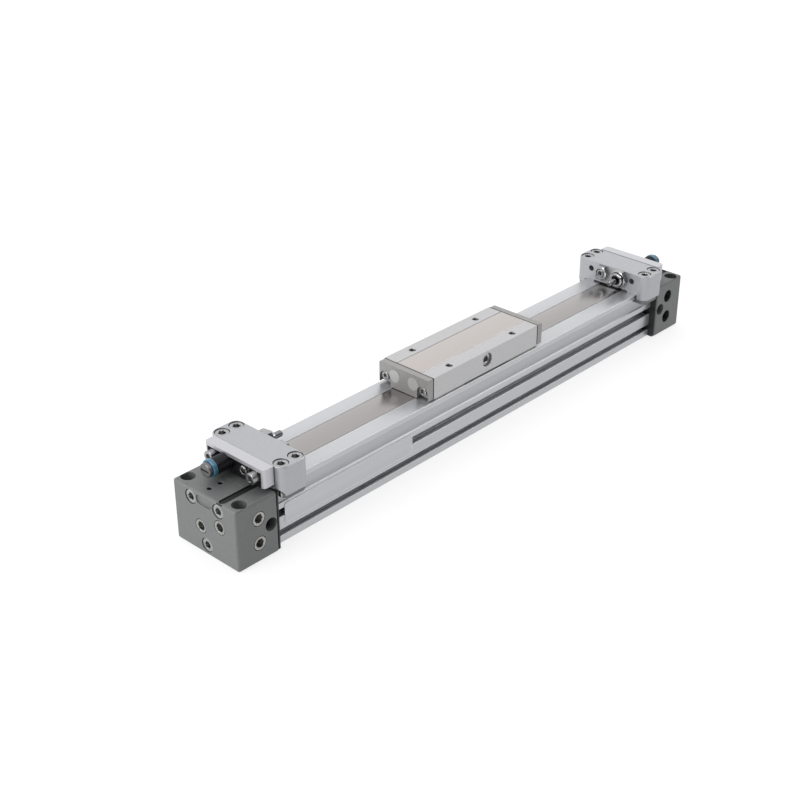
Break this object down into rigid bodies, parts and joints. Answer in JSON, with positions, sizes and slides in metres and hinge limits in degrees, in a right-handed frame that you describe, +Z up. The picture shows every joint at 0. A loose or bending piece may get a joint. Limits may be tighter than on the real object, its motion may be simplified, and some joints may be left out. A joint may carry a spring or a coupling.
{
  "type": "rodless pneumatic cylinder",
  "caption": "Slotted-tube rodless air cylinder with a band-sealed carriage, end caps and a stroke adjuster with shock absorber at each end.",
  "frame": {"origin": "centre of the underside, on the surface that the cylinder lies on", "axes": "+X along the stroke, +Z up through the carriage, +Y away from the side with the label plate"},
  "size_m": [0.42, 0.059, 0.0534],
  "materials": {
    "tube_anodised": "satin clear anodised",
    "cap_grey": "matt grey hard anodised",
    "table_silver": "blasted and anodised",
    "end_plate_grey": "matt warm grey",
    "adjuster_silver": "blasted and anodised",
    "inner_aluminium": "machined",
    "band_steel": "bright strip",
    "cover_steel": "fine brushed",
    "plated_steel": "bright plated",
    "rod_chrome": "polished",
    "black_steel": "black oxide",
    "ring_blue": "blue anodised",
    "plug_grey": "grey plated",
    "gasket_black": "matt",
    "seal_rubber": "matt",
    "bearing_resin": "matt",
    "magnet_dark": "matt",
    "band_resin": "matt"
  },
  "bodies": {
    "cylinder": {"tube": "tube_anodised", "label_plate": "tube_anodised", "left_end_cap": "cap_grey", "right_end_cap": "cap_grey", "cap_gaskets": "gasket_black", "dust_band": "band_steel", "seal_band": "band_resin", "band_clamps": "band_steel", "tube_screws": "plated_steel", "port_plugs": "plated_steel", "cushion_needles": "black_steel", "band_set_screws": "black_steel", "cushion_spears": "inner_aluminium", "left_adjuster_block": "adjuster_silver", "right_adjuster_block": "adjuster_silver", "left_adjuster_cover": "adjuster_silver", "right_adjuster_cover": "adjuster_silver", "left_adjuster_clamps": "adjuster_silver", "right_adjuster_clamps": "adjuster_silver", "left_holding_plate": "black_steel", "right_holding_plate": "black_steel", "adjuster_screws": "plated_steel", "holding_screws": "plated_steel", "plain_washers": "plated_steel", "split_washers": "plated_steel", "left_absorber_body": "black_steel", "right_absorber_body": "black_steel", "absorber_rings": "ring_blue", "absorber_ends": "plug_grey", "absorber_nuts": "plated_steel", "stop_nuts": "plated_steel"},
    "carriage": {"slide_table": "table_silver", "table_cover": "cover_steel", "left_end_plate": "end_plate_grey", "right_end_plate": "end_plate_grey", "end_gaskets": "gasket_black", "end_plate_screws": "plated_steel", "stop_pads": "plug_grey", "scrapers": "seal_rubber", "table_side_screws": "plated_steel", "guide_bearings": "bearing_resin", "band_shoes": "bearing_resin", "yoke": "inner_aluminium", "left_piston": "inner_aluminium", "right_piston": "inner_aluminium", "piston_seals": "seal_rubber", "wear_rings": "bearing_resin", "piston_magnets": "magnet_dark", "piston_screws": "plated_steel"},
    "left_rod": {"left_absorber_rod": "rod_chrome"},
    "right_rod": {"right_absorber_rod": "rod_chrome"},
    "left_bolt": {"left_stop_bolt": "plated_steel"},
    "right_bolt": {"right_stop_bolt": "plated_steel"}
  },
  "joints": [
    {"name": "carriage_slide", "type": "slide", "parent": "cylinder", "child": "carriage", "axis": [1, 0, 0], "range_m": [-0.0925, 0.0903], "deforming": ["dust_band", "seal_band"]},
    {"name": "left_rod_slide", "type": "slide", "parent": "cylinder", "child": "left_rod", "axis": [-1, 0, 0], "range_m": [0, 0.007], "stiffness_N_per_m": 386, "springref_m": -0.011},
    {"name": "right_rod_slide", "type": "slide", "parent": "cylinder", "child": "right_rod", "axis": [1, 0, 0], "range_m": [0, 0.007], "stiffness_N_per_m": 386, "springref_m": -0.011},
    {"name": "left_bolt_slide", "type": "slide", "parent": "cylinder", "child": "left_bolt", "axis": [1, 0, 0], "range_m": [-0.003, 0.005]},
    {"name": "right_bolt_slide", "type": "slide", "parent": "cylinder", "child": "right_bolt", "axis": [-1, 0, 0], "range_m": [-0.003, 0.005]}
  ]
}
